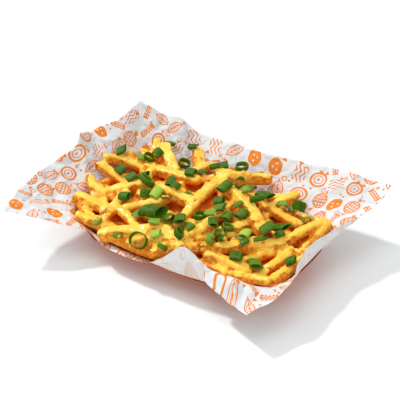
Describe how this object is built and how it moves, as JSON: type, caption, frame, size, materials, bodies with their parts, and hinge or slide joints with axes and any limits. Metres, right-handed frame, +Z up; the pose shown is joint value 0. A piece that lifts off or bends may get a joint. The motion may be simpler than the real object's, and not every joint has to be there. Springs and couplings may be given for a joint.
{
  "type": "tray of cheese fries",
  "caption": "Cheese fries heaped in a low orange board tray lined with a wide sheet of printed greaseproof paper, with cut spring onion on top.",
  "frame": {"origin": "centre of the flat underside of the tray's floor", "axes": "+Z up, +X along the tray's length, +Y across it towards the side where the paper stands highest"},
  "size_m": [0.2702, 0.2041, 0.0688],
  "materials": {
    "board": "matt printed orange board",
    "paper": "greaseproof sheet with an orange print",
    "cheese_fries": "glossy cheese sauce over fried potato",
    "onion": "moist leaf"
  },
  "bodies": {
    "root": {"board_tray": "board", "paper_liner": "paper", "cheese_fries": "cheese_fries", "onion_slice_01": "onion", "onion_slice_02": "onion", "onion_slice_03": "onion", "onion_slice_04": "onion", "onion_slice_05": "onion", "onion_slice_06": "onion", "onion_slice_07": "onion", "onion_slice_08": "onion", "onion_slice_09": "onion", "onion_slice_10": "onion", "onion_slice_11": "onion", "onion_slice_12": "onion", "onion_slice_13": "onion", "onion_slice_14": "onion", "onion_slice_15": "onion", "onion_slice_16": "onion", "onion_slice_17": "onion", "onion_slice_18": "onion", "onion_slice_19": "onion", "onion_slice_20": "onion", "onion_slice_21": "onion", "onion_slice_22": "onion", "onion_slice_23": "onion", "onion_slice_24": "onion", "onion_slice_25": "onion", "onion_slice_26": "onion", "onion_slice_27": "onion", "onion_slice_28": "onion", "onion_slice_29": "onion", "onion_slice_30": "onion", "onion_slice_31": "onion", "onion_slice_32": "onion", "onion_slice_33": "onion", "onion_slice_34": "onion", "onion_slice_35": "onion", "onion_slice_36": "onion", "onion_slice_37": "onion", "onion_slice_38": "onion", "onion_slice_39": "onion", "onion_slice_40": "onion"}
  },
  "joints": []
}
